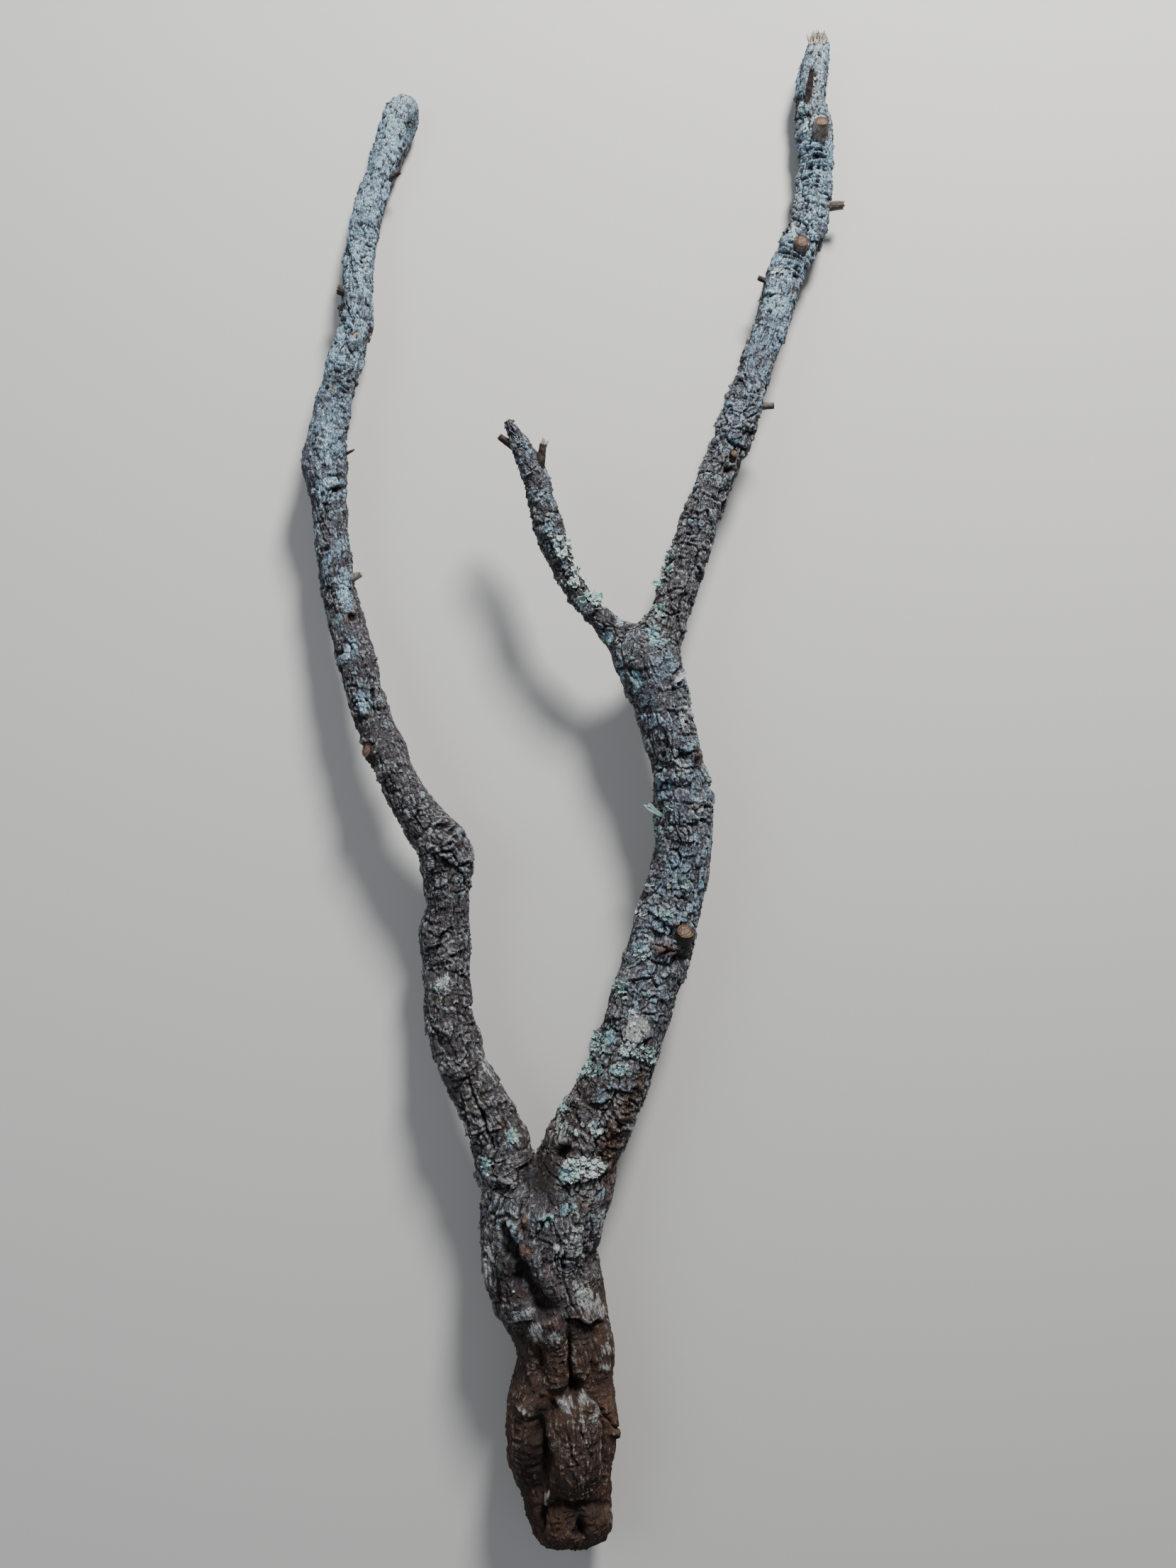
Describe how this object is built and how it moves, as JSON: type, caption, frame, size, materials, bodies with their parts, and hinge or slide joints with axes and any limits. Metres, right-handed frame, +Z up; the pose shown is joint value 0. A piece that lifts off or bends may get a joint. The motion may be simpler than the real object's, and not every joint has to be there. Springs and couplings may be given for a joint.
{
  "type": "fallen tree branch",
  "caption": "Fallen forked tree branch with thick corky bark, lying on the ground, splitting into a bowed left limb and a right limb that forks again near its middle.",
  "frame": {"origin": "on the ground, under the middle of the branch's bounding box", "axes": "+Y along the branch from the broken butt to the tips, +X to the right seen from above, +Z up from the ground"},
  "size_m": [0.4126, 1.1312, 0.084],
  "materials": {
    "stem_cork": "rough, deeply furrowed dark brown cork",
    "grey_bark": "rough grey-brown bark in blocky plates",
    "crusted_bark": "rough bark under a pale blue-grey lichen crust",
    "lichen": "matt, leafy, mint-grey lichen",
    "bare_wood": "matt weathered wood, sawn or splintered"
  },
  "bodies": {
    "root": {"stem": "stem_cork", "left_limb": "crusted_bark", "right_limb": "grey_bark", "upper_limb": "crusted_bark", "side_branch": "crusted_bark"}
  },
  "joints": []
}
